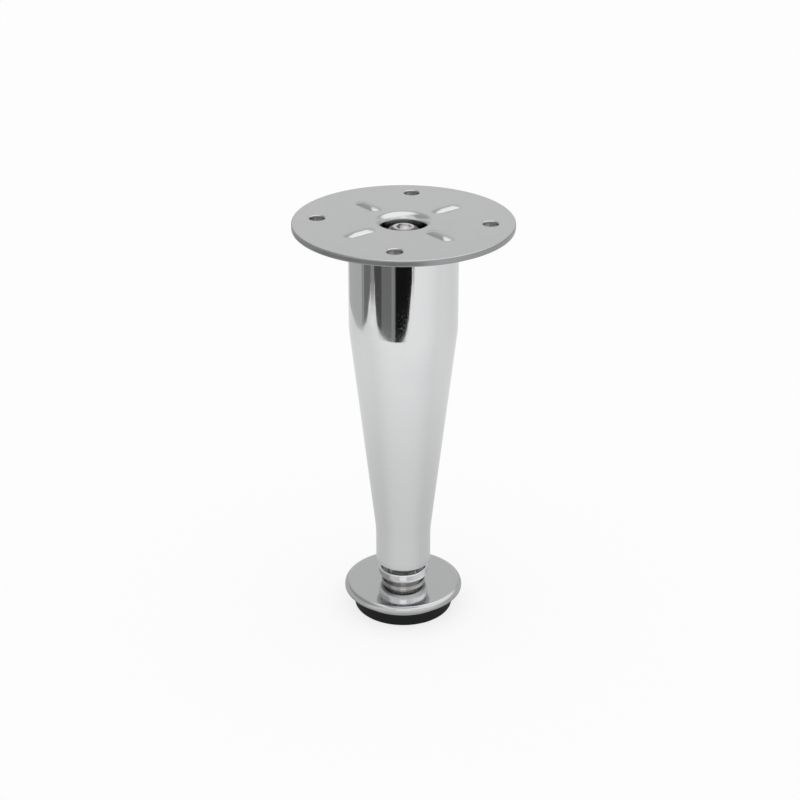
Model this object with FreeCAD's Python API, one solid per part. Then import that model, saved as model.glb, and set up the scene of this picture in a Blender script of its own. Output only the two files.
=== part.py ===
"""Adjustable cabinet leg: a swaged steel tube under a pressed mounting plate, on a screw-in foot.

Millimetres, +Z up. The origin is on the leg's axis at the underside of the foot's pad, so the leg stands
on z = 0 as it does on a floor. The plate's screw holes lie on the X and Y axes. The foot is drawn partly
screwed out. It moves up and down on its thread, which is right-handed.
"""

import FreeCAD
import Part

import math
import os

Vector = FreeCAD.Vector

# Overall sizes
PLATE_TOP = 150.0          # underside of the cabinet above the floor, with the foot as drawn
PLATE_DIAMETER = 76.0
TUBE_DIAMETER = 38.0       # stock tube before it is swaged
TUBE_FOOT_DIAMETER = 19.9  # the swaged small end
TUBE_WALL = 1.5

# Mounting plate, pressed from sheet
PLATE_SHEET = 1.6
PLATE_EDGE_ROUND = 0.5
SCREW_CIRCLE = 59.0
SCREW_COUNT = 4
SCREW_HOLE = 5.2
SCREW_HOLE_ROLLOVER = 0.6
RIB_COUNT = 4
RIB_FROM_AXIS = 19.0       # the middle of each rib, over the tube's rim
RIB_LENGTH = 12.5
RIB_WIDTH = 4.6
RIB_HEIGHT = 1.0
RIB_BLEND = 0.6
RIB_HOLLOW_INSET = 0.5     # the hollow under a rib is this much smaller all round
RECESS_BORE = 15.2         # the drawn recess that sinks the bolt's head
RECESS_DEPTH = 7.2
RECESS_MOUTH_ROUND = 2.6
RECESS_FLOOR = 1.4         # the sheet is drawn thinner here
RECESS_FLOOR_ROUND = 0.4

# Bolt that holds the plate to the nut in the tube
BOLT_THREAD = 8.0
BOLT_LENGTH = 16.0
BOLT_HEAD_DIAMETER = 14.0
BOLT_HEAD_HEIGHT = 4.4
BOLT_HEAD_RIM = 0.9
BOLT_HEAD_TOP = 6.6        # flat on top of the domed head, across
BOLT_SOCKET = 5.0          # hexagon socket, across flats
BOLT_SOCKET_DEPTH = 2.6
BOLT_HOLE_CLEARANCE = 0.3  # on the radius, in the recess floor
WASHER_CLEARANCE = 0.2     # between the washer and the round at the recess's floor
WASHER_THICKNESS = 0.8
WASHER_TEETH = 10
WASHER_TOOTH_DEPTH = 1.3

# Threads are plain cylinders at their full diameter, free by this much on the radius
THREAD_CLEARANCE = 0.05
PRESS_GAP = 0.02           # drawn gap on the radius between pieces pressed or welded together

# Disc welded into the top of the tube, with a nut welded under it
DISC_THICKNESS = 3.0
DISC_EDGE_ROUND = 0.5
NUT_ACROSS_FLATS = 14.0
NUT_HEIGHT = 6.5
NUT_CORNER_CHAMFER = 30.0  # slope of the turned corners, degrees

# Tube: straight, then a cone, then a short straight end
TUBE_FOOT_Z = 18.4         # lower end of the tube
TUBE_STRAIGHT_FOOT = 13.0
TUBE_CONE_TOP = 111.0
TUBE_TOP_BLEND = 45.0
TUBE_FOOT_BLEND = 45.0
TUBE_END_ROUND = 0.4

# Threaded bush in the small end
BUSH_THREAD = 10.0
BUSH_LENGTH = 11.6
BUSH_SET_BACK = 0.6
BUSH_CHAMFER = 0.6

# Foot spindle, turned in one piece from the thread to the riveted tail
SPINDLE_TOP = 43.0
SPINDLE_CHAMFER = 1.2
COLLAR_DIAMETER = 18.0
COLLAR_BOTTOM = 12.5
COLLAR_HEIGHT = 3.4
COLLAR_ROUND = 0.9
NECK_DIAMETER = 13.6
HUB_DIAMETER = 16.0
HUB_HEIGHT = 0.9           # flange that bears on the cap
HUB_ROUND = 0.3
TAIL_DIAMETER = 6.0
TAIL_CLEARANCE = 0.1
RIVET_HEAD_DIAMETER = 9.6
RIVET_HEAD_HEIGHT = 1.0

# Foot cap, pressed from sheet: a flat top, a rim folded back under it, and a wall down over the pad
CAP_SHEET = 1.2
CAP_TOP = 9.6
CAP_RIM_DIAMETER = 43.2
CAP_RIM_HEIGHT = 2.5       # two sheets and the fold between them
CAP_SHOULDER = 1.8         # rounding of the rim's upper edge
CAP_RIM_ROUND = 0.5        # rounding of its lower edge
CAP_WALL_DIAMETER = 36.6
CAP_HEIGHT = 4.9           # from the wall's lower edge to the top
CAP_WALL_BEND = 0.5        # inside radius where the wall leaves the rim
CAP_TOP_BEND = 0.8         # inside radius between the wall and the top
CAP_EDGE_ROUND = 0.3

# Pad that plugs into the cap, and the washer that keeps it there
PAD_DIAMETER = 36.0
PAD_EDGE_ROUND = 1.0
PAD_PLAY = 0.1             # up and down, so that the foot turns over a pad that stays still
PAD_PLUG_CLEARANCE = 0.25  # on the radius, between the plug and the cap's wall
PAD_WEB = 1.7
PAD_RECESS_DIAMETER = 15.0
KEEPER_DIAMETER = 13.0
KEEPER_THICKNESS = 0.8

CAVITY_OVERRUN = 5.0       # how far a cutting tool runs past the surface it cuts


def point(radius, height):
    return Vector(radius, 0.0, height)


def rounded_edges(corners):
    """Edges of a closed outline in the XZ plane. Each corner is (radius, height, rounding)."""
    count = len(corners)
    starts, ends, arcs = [], [], []
    for i, (radius, height, rounding) in enumerate(corners):
        here = point(radius, height)
        before = (point(*corners[i - 1][:2]) - here).normalize()
        after = (point(*corners[(i + 1) % count][:2]) - here).normalize()
        if not rounding:
            starts.append(here)
            ends.append(here)
            arcs.append(None)
            continue
        half = before.getAngle(after) / 2.0
        reach = rounding / math.tan(half)
        towards_centre = (before + after).normalize()
        middle = here + towards_centre * (rounding / math.sin(half) - rounding)
        starts.append(here + before * reach)
        ends.append(here + after * reach)
        arcs.append(middle)
    edges = []
    for i in range(count):
        if arcs[i] is not None:
            edges.append(Part.Arc(starts[i], arcs[i], ends[i]).toShape())
        following = starts[(i + 1) % count]
        if (following - ends[i]).Length > 1e-6:
            edges.append(Part.LineSegment(ends[i], following).toShape())
    return edges


def turned(corners):
    """Solid of revolution about the Z axis from a rounded outline."""
    face = Part.Face(Part.Wire(Part.__sortEdges__(rounded_edges(corners))))
    return face.revolve(Vector(0, 0, 0), Vector(0, 0, 1), 360)


def around(shape, count, first_angle=0.0):
    """Copies of a shape, evenly spaced about the Z axis."""
    copies = []
    for i in range(count):
        copy = shape.copy()
        copy.rotate(Vector(0, 0, 0), Vector(0, 0, 1), first_angle + 360.0 * i / count)
        copies.append(copy)
    return copies


def hexagon(across_flats, level, height):
    """Hexagonal prism about the Z axis, with two flats facing along Y."""
    corner = across_flats / math.sqrt(3.0)
    ring = [
        Vector(corner * math.cos(math.radians(60 * i)), corner * math.sin(math.radians(60 * i)), level)
        for i in range(7)
    ]
    return Part.Face(Part.makePolygon(ring)).extrude(Vector(0, 0, height))


def swage(width, height, length, level):
    """A long low bump along +X that rises from a plane: a round-backed bar with ball ends, cut off flat."""
    back_radius = (width * width / 4.0 + height * height) / (2.0 * height)
    axis_level = level + height - back_radius
    half_run = length / 2.0 - width / 2.0
    start = Vector(RIB_FROM_AXIS - half_run, 0, axis_level)
    bar = Part.makeCylinder(back_radius, 2.0 * half_run, start, Vector(1, 0, 0))
    for side in (-half_run, half_run):
        bar = bar.fuse(Part.makeSphere(back_radius, Vector(RIB_FROM_AXIS + side, 0, axis_level)))
    keep = Part.makeBox(2.0 * length, 2.0 * length, 2.0 * height)
    keep.translate(Vector(RIB_FROM_AXIS - length, -length, level))
    return bar.common(keep).removeSplitter()


def recess_outline(top):
    """Outline of the pressed plate in section: flat sheet, mouth of the recess, its wall and its floor."""
    rim = PLATE_DIAMETER / 2.0
    bore = RECESS_BORE / 2.0
    hole = BOLT_THREAD / 2.0 + BOLT_HOLE_CLEARANCE
    under_round = RECESS_MOUTH_ROUND - PLATE_SHEET
    return [
        (rim, top, PLATE_EDGE_ROUND),
        (bore, top, RECESS_MOUTH_ROUND),
        (bore, top - RECESS_DEPTH, RECESS_FLOOR_ROUND),
        (hole, top - RECESS_DEPTH, 0),
        (hole, top - RECESS_DEPTH - RECESS_FLOOR, 0),
        (bore + PLATE_SHEET, top - RECESS_DEPTH - RECESS_FLOOR, RECESS_FLOOR_ROUND + RECESS_FLOOR),
        (bore + PLATE_SHEET, top - PLATE_SHEET, under_round),
        (rim, top - PLATE_SHEET, PLATE_EDGE_ROUND),
    ]


def rib_foot_edges(shape, level):
    """The closed runs of edges where the ribs meet the top of the plate."""
    found = []
    for edge in shape.Edges:
        box = edge.BoundBox
        reach = edge.CenterOfMass
        near_rib = abs(math.hypot(reach.x, reach.y) - RIB_FROM_AXIS) < RIB_LENGTH / 2.0 + 0.5
        lies_flat = abs(box.ZMin - level) < 1e-4 and abs(box.ZMax - level) < 1e-4
        if lies_flat and near_rib and edge.Length < RIB_LENGTH * 1.5:
            found.append(edge)
    return found


def make_mounting_plate():
    plate = turned(recess_outline(PLATE_TOP))
    rib_angle = 180.0 / RIB_COUNT
    bump = swage(RIB_WIDTH, RIB_HEIGHT, RIB_LENGTH, PLATE_TOP)
    plate = plate.fuse(around(bump, RIB_COUNT, rib_angle)).removeSplitter()
    plate = plate.makeFillet(RIB_BLEND, rib_foot_edges(plate, PLATE_TOP))
    inset = 2.0 * RIB_HOLLOW_INSET
    hollow = swage(RIB_WIDTH - inset, RIB_HEIGHT, RIB_LENGTH - inset, PLATE_TOP - PLATE_SHEET)
    plate = plate.cut(around(hollow, RIB_COUNT, rib_angle))
    hole = SCREW_HOLE / 2.0
    roll = SCREW_HOLE_ROLLOVER
    punch = turned(
        [
            (0, PLATE_TOP + CAVITY_OVERRUN, 0),
            (hole + roll + CAVITY_OVERRUN, PLATE_TOP + CAVITY_OVERRUN, 0),
            (hole + roll + CAVITY_OVERRUN, PLATE_TOP, 0),
            (hole, PLATE_TOP, roll),
            (hole, PLATE_TOP - PLATE_SHEET - CAVITY_OVERRUN, 0),
            (0, PLATE_TOP - PLATE_SHEET - CAVITY_OVERRUN, 0),
        ]
    )
    punch.translate(Vector(SCREW_CIRCLE / 2.0, 0, 0))
    return plate.cut(around(punch, SCREW_COUNT))


def make_plate_bolt():
    """Button-head bolt with a hexagon socket, its head at the bottom of the recess."""
    seat = PLATE_TOP - RECESS_DEPTH + WASHER_THICKNESS
    shank = BOLT_THREAD / 2.0 - THREAD_CLEARANCE
    head = BOLT_HEAD_DIAMETER / 2.0
    top = BOLT_HEAD_TOP / 2.0
    tip = seat - BOLT_LENGTH
    dome_start = point(head, seat + BOLT_HEAD_RIM)
    dome_end = point(top, seat + BOLT_HEAD_HEIGHT)
    chord = dome_end - dome_start
    outward = Vector(chord.z, 0, -chord.x).normalize()
    dome_middle = dome_start + chord * 0.5 + outward * (chord.Length * 0.14)
    edges = [
        Part.LineSegment(point(0, tip), point(shank - 1.0, tip)).toShape(),
        Part.LineSegment(point(shank - 1.0, tip), point(shank, tip + 1.0)).toShape(),
        Part.LineSegment(point(shank, tip + 1.0), point(shank, seat)).toShape(),
        Part.LineSegment(point(shank, seat), point(head, seat)).toShape(),
        Part.LineSegment(point(head, seat), dome_start).toShape(),
        Part.Arc(dome_start, dome_middle, dome_end).toShape(),
        Part.LineSegment(dome_end, point(0, seat + BOLT_HEAD_HEIGHT)).toShape(),
        Part.LineSegment(point(0, seat + BOLT_HEAD_HEIGHT), point(0, tip)).toShape(),
    ]
    bolt = Part.Face(Part.Wire(edges)).revolve(Vector(0, 0, 0), Vector(0, 0, 1), 360)
    floor = seat + BOLT_HEAD_HEIGHT - BOLT_SOCKET_DEPTH
    key = hexagon(BOLT_SOCKET, floor, BOLT_SOCKET_DEPTH + CAVITY_OVERRUN)
    drill = BOLT_SOCKET / 2.0
    point_depth = drill / math.tan(math.radians(60))
    cone = Part.makeCone(0, drill, point_depth, Vector(0, 0, floor - point_depth))
    return bolt.cut([key, cone])


def make_lock_washer():
    """Washer with inner teeth, between the bolt's head and the floor of the recess."""
    level = PLATE_TOP - RECESS_DEPTH
    bore = BOLT_THREAD / 2.0 + BOLT_HOLE_CLEARANCE
    rim = RECESS_BORE / 2.0 - RECESS_FLOOR_ROUND - WASHER_CLEARANCE
    washer = turned(
        [
            (bore, level, 0),
            (rim, level, 0),
            (rim, level + WASHER_THICKNESS, 0),
            (bore, level + WASHER_THICKNESS, 0),
        ]
    )
    gap_width = math.pi * bore / WASHER_TEETH
    notch = Part.makeBox(bore + WASHER_TOOTH_DEPTH, gap_width, WASHER_THICKNESS)
    notch.translate(Vector(0, -gap_width / 2.0, level))
    return washer.cut(around(notch, WASHER_TEETH))


def tube_inner_radius():
    return TUBE_DIAMETER / 2.0 - TUBE_WALL


def disc_top():
    return PLATE_TOP - RECESS_DEPTH - RECESS_FLOOR


def make_top_disc():
    """Disc across the top of the tube. The floor of the plate's recess lands on it."""
    rim = tube_inner_radius() - PRESS_GAP
    bore = BOLT_THREAD / 2.0 + BOLT_HOLE_CLEARANCE
    return turned(
        [
            (bore, disc_top(), 0),
            (rim, disc_top(), DISC_EDGE_ROUND),
            (rim, disc_top() - DISC_THICKNESS, DISC_EDGE_ROUND),
            (bore, disc_top() - DISC_THICKNESS, 0),
        ]
    )


def make_weld_nut():
    """Hexagon nut under the disc, its lower corners turned off at a slope."""
    top = disc_top() - DISC_THICKNESS
    bottom = top - NUT_HEIGHT
    flat = NUT_ACROSS_FLATS / 2.0
    corner = NUT_ACROSS_FLATS / math.sqrt(3.0)
    rise = (corner - flat) * math.tan(math.radians(NUT_CORNER_CHAMFER))
    bore = BOLT_THREAD / 2.0
    blank = turned(
        [
            (bore, top, 0),
            (corner + PRESS_GAP, top, 0),
            (corner + PRESS_GAP, bottom + rise, 0),
            (flat, bottom, 0),
            (bore, bottom, 0),
        ]
    )
    return blank.common(hexagon(NUT_ACROSS_FLATS, bottom, NUT_HEIGHT))


def make_leg_tube():
    top = PLATE_TOP - PLATE_SHEET
    wide = TUBE_DIAMETER / 2.0
    narrow = TUBE_FOOT_DIAMETER / 2.0
    cone_foot = TUBE_FOOT_Z + TUBE_STRAIGHT_FOOT
    return turned(
        [
            (wide, top, 0),
            (wide, TUBE_CONE_TOP, TUBE_TOP_BLEND),
            (narrow, cone_foot, TUBE_FOOT_BLEND),
            (narrow, TUBE_FOOT_Z, TUBE_END_ROUND),
            (narrow - TUBE_WALL, TUBE_FOOT_Z, 0),
            (narrow - TUBE_WALL, cone_foot, TUBE_FOOT_BLEND + TUBE_WALL),
            (wide - TUBE_WALL, TUBE_CONE_TOP, TUBE_TOP_BLEND - TUBE_WALL),
            (wide - TUBE_WALL, top, 0),
        ]
    )


def make_threaded_bush():
    """Bush pressed into the small end of the tube. The foot's thread runs in it."""
    bottom = TUBE_FOOT_Z + BUSH_SET_BACK
    rim = TUBE_FOOT_DIAMETER / 2.0 - TUBE_WALL - PRESS_GAP
    bore = BUSH_THREAD / 2.0
    bush = turned(
        [
            (bore, bottom, 0),
            (rim, bottom, 0.4),
            (rim, bottom + BUSH_LENGTH, 0.4),
            (bore, bottom + BUSH_LENGTH, 0),
        ]
    )
    mouth = Part.makeCone(bore + BUSH_CHAMFER, bore, BUSH_CHAMFER, Vector(0, 0, bottom))
    return bush.cut(mouth)


def cap_underside():
    return CAP_TOP - CAP_SHEET


def make_foot_spindle():
    """Threaded shank, collar, neck and flange, and the tail that is riveted over under the pad."""
    shank = BUSH_THREAD / 2.0 - THREAD_CLEARANCE
    collar = COLLAR_DIAMETER / 2.0
    neck = NECK_DIAMETER / 2.0
    hub = HUB_DIAMETER / 2.0
    tail = TAIL_DIAMETER / 2.0
    rivet_top = cap_underside() - PAD_WEB - PAD_PLAY - KEEPER_THICKNESS
    rivet = RIVET_HEAD_DIAMETER / 2.0
    return turned(
        [
            (0, SPINDLE_TOP, 0),
            (shank - SPINDLE_CHAMFER, SPINDLE_TOP, 0),
            (shank, SPINDLE_TOP - SPINDLE_CHAMFER, 0),
            (shank, COLLAR_BOTTOM + COLLAR_HEIGHT, 0),
            (collar, COLLAR_BOTTOM + COLLAR_HEIGHT, COLLAR_ROUND),
            (collar, COLLAR_BOTTOM, COLLAR_ROUND),
            (neck, COLLAR_BOTTOM, 0),
            (neck, CAP_TOP + HUB_HEIGHT, 0),
            (hub, CAP_TOP + HUB_HEIGHT, HUB_ROUND),
            (hub, CAP_TOP, 0),
            (tail, CAP_TOP, 0),
            (tail, rivet_top, 0),
            (rivet, rivet_top, 0.3),
            (rivet, rivet_top - RIVET_HEAD_HEIGHT, 0.6),
            (0, rivet_top - RIVET_HEAD_HEIGHT, 0),
        ]
    )


def make_foot_cap():
    """Shallow cup, open downwards. Its rim is the sheet folded flat on itself, drawn as one thickness."""
    hole = TAIL_DIAMETER / 2.0 + TAIL_CLEARANCE
    rim = CAP_RIM_DIAMETER / 2.0
    wall = CAP_WALL_DIAMETER / 2.0
    inner = wall - CAP_SHEET
    rim_underside = CAP_TOP - CAP_RIM_HEIGHT
    bottom = CAP_TOP - CAP_HEIGHT
    return turned(
        [
            (hole, CAP_TOP, 0),
            (rim, CAP_TOP, CAP_SHOULDER),
            (rim, rim_underside, CAP_RIM_ROUND),
            (wall, rim_underside, CAP_WALL_BEND),
            (wall, bottom, CAP_EDGE_ROUND),
            (inner, bottom, CAP_EDGE_ROUND),
            (inner, cap_underside(), CAP_TOP_BEND),
            (hole, cap_underside(), 0),
        ]
    )


def make_pad_keeper():
    """Washer under the pad's web, held by the riveted tail."""
    level = cap_underside() - PAD_WEB - PAD_PLAY
    bore = TAIL_DIAMETER / 2.0 + TAIL_CLEARANCE
    return turned(
        [
            (bore, level - KEEPER_THICKNESS, 0),
            (KEEPER_DIAMETER / 2.0, level - KEEPER_THICKNESS, 0.2),
            (KEEPER_DIAMETER / 2.0, level, 0.2),
            (bore, level, 0),
        ]
    )


def make_glide_pad():
    """Moulded pad: a plug in the cap, a wider foot on the floor, and a recess for the riveted tail."""
    top = cap_underside() - PAD_PLAY / 2.0
    shoulder = CAP_TOP - CAP_HEIGHT - PAD_PLAY / 2.0
    web_under = top - PAD_WEB
    rim = PAD_DIAMETER / 2.0
    plug = CAP_WALL_DIAMETER / 2.0 - CAP_SHEET - PAD_PLUG_CLEARANCE
    hole = TAIL_DIAMETER / 2.0 + 3.0 * TAIL_CLEARANCE
    recess = PAD_RECESS_DIAMETER / 2.0
    return turned(
        [
            (hole, top, 0),
            (plug, top, CAP_TOP_BEND),
            (plug, shoulder, 0),
            (rim, shoulder, 0.3),
            (rim, 0, PAD_EDGE_ROUND),
            (recess, 0, 0.4),
            (recess, web_under, 0),
            (hole, web_under, 0),
        ]
    )


PIECES = {
    "mounting_plate": make_mounting_plate,
    "plate_bolt": make_plate_bolt,
    "lock_washer": make_lock_washer,
    "top_disc": make_top_disc,
    "weld_nut": make_weld_nut,
    "leg_tube": make_leg_tube,
    "threaded_bush": make_threaded_bush,
    "foot_spindle": make_foot_spindle,
    "foot_cap": make_foot_cap,
    "pad_keeper": make_pad_keeper,
    "glide_pad": make_glide_pad,
}


def main():
    os.makedirs("parts", exist_ok=True)
    for name, make in PIECES.items():
        shape = make()
        solids = shape.Solids
        if len(solids) == 1:
            shape = solids[0]
        shape.exportStep(f"parts/{name}.step")
        print(f"{name}: {len(solids)} solid, valid {shape.isValid()}, {shape.Volume:.1f} mm3")


main()
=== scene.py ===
# %% [markdown]
# # An adjustable cabinet leg in bright chrome
#
# A leg like this holds up a kitchen cabinet or a sofa. A steel tube hangs under a round pressed plate,
# and a foot screws in and out of its narrow end. The working model is finished already: its solids, its
# sizes and its joints come from a packed file that is called the frame here. This lesson gives it its
# looks. The mirror-bright pieces are made again as fine meshes, because a mirror shows every facet.
#
# Every length is in metres, +Z points up along the leg's axis, and the pad stands on z = 0.

# %% Load the frame
import math

import bpy
from mathutils import Matrix, Vector
from mathutils.geometry import delaunay_2d_cdt
from mathutils.kdtree import KDTree


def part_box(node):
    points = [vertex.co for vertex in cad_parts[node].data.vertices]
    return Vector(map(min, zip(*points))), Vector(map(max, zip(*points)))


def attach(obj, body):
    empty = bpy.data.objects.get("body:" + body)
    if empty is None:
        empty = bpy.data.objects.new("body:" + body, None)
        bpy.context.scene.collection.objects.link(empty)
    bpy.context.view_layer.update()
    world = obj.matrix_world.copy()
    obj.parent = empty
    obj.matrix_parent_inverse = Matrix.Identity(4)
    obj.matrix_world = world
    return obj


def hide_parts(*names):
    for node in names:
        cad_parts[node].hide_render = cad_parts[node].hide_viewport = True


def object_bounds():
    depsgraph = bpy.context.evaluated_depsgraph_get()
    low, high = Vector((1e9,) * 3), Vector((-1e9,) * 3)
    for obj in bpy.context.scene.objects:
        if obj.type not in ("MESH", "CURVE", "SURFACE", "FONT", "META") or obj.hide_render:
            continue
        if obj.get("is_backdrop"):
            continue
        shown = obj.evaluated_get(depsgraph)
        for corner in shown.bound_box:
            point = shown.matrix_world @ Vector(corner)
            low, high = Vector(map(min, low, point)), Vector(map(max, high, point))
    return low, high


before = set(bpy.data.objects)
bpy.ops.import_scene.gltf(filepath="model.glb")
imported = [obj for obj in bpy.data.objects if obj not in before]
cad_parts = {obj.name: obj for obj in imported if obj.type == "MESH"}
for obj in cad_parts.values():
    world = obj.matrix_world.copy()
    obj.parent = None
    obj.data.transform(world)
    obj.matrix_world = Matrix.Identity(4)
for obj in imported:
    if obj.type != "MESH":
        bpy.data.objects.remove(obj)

CAD_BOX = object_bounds()
MM = 0.001
bpy.context.scene.view_settings.view_transform = "Standard"
print("pieces in the frame:", ", ".join(sorted(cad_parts)))

# %% [markdown]
# ## A skin, gathered face by face
#
# A mirror shows the direction that a surface faces far better than it shows the surface itself. Blender
# can guess those directions from the faces around a point, but the guess goes wrong where a short arc
# meets a long straight side. Here each corner of each face gets the exact direction of the shape that it
# stands for. The class collects faces and their corner directions, and shares the points that coincide.

# %% Collect faces with exact corner normals
SAME_POINT = 0.5 * MM / 1000


def new_object(name, points, faces):
    """Puts an object with a new mesh into the scene."""
    mesh = bpy.data.meshes.new(name)
    mesh.from_pydata(points, [], faces)
    thing = bpy.data.objects.new(name, mesh)
    bpy.context.scene.collection.objects.link(thing)
    return thing


class Skin:
    """Faces of one mesh, each a list of (point, normal) corners."""

    def __init__(self):
        self.faces = []

    def add(self, corners):
        """Adds a face, going round it anticlockwise as seen from outside."""
        self.faces.append([(tuple(point), tuple(normal)) for point, normal in corners])

    def shared_points(self):
        """The points, and for each the number of the one that stands for it and all that coincide."""
        points = list(dict.fromkeys(point for face in self.faces for point, _ in face))
        tree = KDTree(len(points))
        for number, point in enumerate(points):
            tree.insert(point, number)
        tree.balance()
        chosen, numbers = [], {}
        for point in points:
            near = min(number for _, number, _ in tree.find_range(point, SAME_POINT))
            if points[near] == point:
                numbers[point] = len(chosen)
                chosen.append(point)
            else:
                numbers[point] = numbers[points[near]]
        return chosen, numbers

    def piece(self, name, body, slot, *nodes, exact=True):
        """Makes the object, which rides on a body and stands for nodes of the frame."""
        points, numbers = self.shared_points()
        faces, normals = [], []
        for face in self.faces:
            corners = {}
            for point, normal in face:
                corners.setdefault(numbers[point], normal)
            if len(corners) > 2:
                faces.append(list(corners))
                normals += corners.values()
        thing = new_object(name, points, faces)
        thing.data.polygons.foreach_set("use_smooth", [True] * len(faces))
        if exact:
            thing.data.normals_split_custom_set(normals)
        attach(thing, body)
        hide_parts(*nodes)
        print(f"{name}: {len(faces)} faces, rides on {body}, stands for {', '.join(nodes)}")
        return thing


# %% [markdown]
# ## Turned shapes
#
# The tube, the foot and the pad are all round about one axis, so each is a section that is spun. The
# section is a list of corners, and each corner says how far it is rounded. It is walked with the material
# on the right-hand side: outwards along a top, down an outer wall and inwards along an underside. The
# walk gives short stretches, and each knows the outward direction at its two ends.

# %% Walk round a section
ARC_STEP = math.radians(7)
ARC_LENGTH = 0.7 * MM
NO_LENGTH = 1e-9   # in metres


def stretches(section):
    """Cuts a section of (radius, height, rounding) corners into ((point, normal), (point, normal)) pairs."""
    corners = [Vector(corner[:2]) for corner in section]
    found = []
    count = len(corners)
    arcs = []
    for i, here in enumerate(corners):
        rounding = section[i][2]
        into = (here - corners[i - 1]).normalized()
        away = (corners[(i + 1) % count] - here).normalized()
        turn = math.atan2(into.x * away.y - into.y * away.x, into.dot(away))
        reach = rounding * math.tan(abs(turn) / 2)
        start, end = here - into * reach, here + away * reach
        if rounding:
            centre = start + Vector((-into.y, into.x)) * math.copysign(rounding, turn)
            steps = max(2, math.ceil(abs(turn) / ARC_STEP), math.ceil(abs(turn) * rounding / ARC_LENGTH))
            arc = [start]
            for k in range(1, steps):
                arc.append(centre + Matrix.Rotation(turn * k / steps, 2) @ (start - centre))
            arc.append(end)
            outwards = -math.copysign(1.0, turn)
            arcs.append([(point, (point - centre).normalized() * outwards) for point in arc])
        else:
            arcs.append([(here, None)])
    for i in range(count):
        arc, following = arcs[i], arcs[(i + 1) % count]
        found += [(arc[k], arc[k + 1]) for k in range(len(arc) - 1)]
        a, b = arc[-1][0], following[0][0]
        if (b - a).length > NO_LENGTH:
            along = (b - a).normalized()
            normal = Vector((-along.y, along.x))
            found.append(((a, normal), (b, normal)))
    return found


# %% Spin the stretches
TURN_STEPS = 240


def on_ring(radius, height, step, steps):
    angle = 2 * math.pi * step / steps
    return Vector((radius * math.cos(angle), radius * math.sin(angle), height))


def spin(skin, pairs, steps=TURN_STEPS):
    """Adds the faces that stretches sweep out about the Z axis."""
    for (a, normal_a), (b, normal_b) in pairs:
        if max(a.x, b.x) < NO_LENGTH:
            continue
        for k in range(steps):
            skin.add([
                (on_ring(a.x, a.y, k, steps), on_ring(normal_a.x, normal_a.y, k, steps)),
                (on_ring(b.x, b.y, k, steps), on_ring(normal_b.x, normal_b.y, k, steps)),
                (on_ring(b.x, b.y, (k + 1) % steps, steps), on_ring(normal_b.x, normal_b.y, k + 1, steps)),
                (on_ring(a.x, a.y, (k + 1) % steps, steps), on_ring(normal_a.x, normal_a.y, k + 1, steps)),
            ])


def turned(section, *labels):
    """Spins a section into a piece. The labels are the ones that Skin.piece takes."""
    skin = Skin()
    spin(skin, stretches(section))
    return skin.piece(*labels)


# %% [markdown]
# ## The leg tube
#
# The real tube is 38 mm furniture tube. A swaging machine hammers its lower three quarters down to a long
# cone that ends in a short straight neck. Where the straight part meets the cone, the wall bends over a
# wide radius, and that bend decides where the reflections in the chrome stop. A subdivided cylinder could
# be squeezed to this shape, but a spun section gives the bend its true radius and costs few faces.

# %% Spin the tube
TUBE_LOW, TUBE_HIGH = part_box("leg_tube")
TUBE_TOP = TUBE_HIGH.z - 0.6 * MM   # the sheet over it is drawn this much thicker than in the solids
TUBE_RADIUS = TUBE_HIGH.x
TUBE_NECK_RADIUS = 9.95 * MM
TUBE_WALL = 1.5 * MM
NECK_LENGTH = 13.0 * MM
CONE_TOP = 111.0 * MM
SWAGE_BEND = 45 * MM
NECK_LIP = 0.4 * MM


def make_leg_tube():
    top, foot = TUBE_TOP, TUBE_LOW.z
    cone_foot = foot + NECK_LENGTH
    section = [
        (TUBE_RADIUS, top, 0),
        (TUBE_RADIUS, CONE_TOP, SWAGE_BEND),
        (TUBE_NECK_RADIUS, cone_foot, SWAGE_BEND),
        (TUBE_NECK_RADIUS, foot, NECK_LIP),
        (TUBE_NECK_RADIUS - TUBE_WALL, foot, 0),
        (TUBE_NECK_RADIUS - TUBE_WALL, cone_foot, SWAGE_BEND + TUBE_WALL),
        (TUBE_RADIUS - TUBE_WALL, CONE_TOP, SWAGE_BEND - TUBE_WALL),
        (TUBE_RADIUS - TUBE_WALL, top, 0),
    ]
    return turned(section, "chromed_tube", "leg", "bright_plating", "leg_tube")


tube = make_leg_tube()

# %% [markdown]
# ## The mounting plate
#
# The plate is pressed from sheet. One stroke draws the middle down into a recess for the bolt's head,
# raises four short ribs that stiffen the sheet over the tube's rim, and rolls over the edges of the four
# screw holes. The photograph shows its rim 2.2 mm thick, 0.6 mm more than the solid has. The recess and
# the rim are turned shapes. The flat between them isn't, so it is laid out as a net of triangles whose
# points follow the ribs and the holes, and each point is then lifted or sunk by the shape it lies on. A
# grid of squares with bumps in it would need far more faces for the same edges.

# %% Sizes of the plate
_, PLATE_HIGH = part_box("mounting_plate")
SHEET = 2.2 * MM
RIB_HEIGHT = 1.0 * MM
RIB_WIDTH = 4.6 * MM
RIB_LENGTH = 12.5 * MM
RIB_BLEND = 0.6 * MM
RIB_MIDDLE = 19.0 * MM
RIB_END_EASE = 0.55   # how much shorter a rib's spine is than its foot, as a share
RIB_HOLLOW_INSET = 0.5 * MM
HOLLOW_BLEND = 0.15 * MM
PLATE_TOP = PLATE_HIGH.z - RIB_HEIGHT
PLATE_RIM = PLATE_HIGH.x
RIM_ROUND = 0.5 * MM
RECESS_RADIUS = 7.6 * MM
RECESS_DEPTH = 7.2 * MM
RECESS_MOUTH = 2.6 * MM
RECESS_FLOOR = 1.4 * MM
RECESS_CORNER = 0.4 * MM
BOLT_HOLE = 4.3 * MM
SCREW_HOLE = 2.6 * MM
SCREW_ROLL = 0.6 * MM
SCREW_CIRCLE = 29.5 * MM
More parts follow.
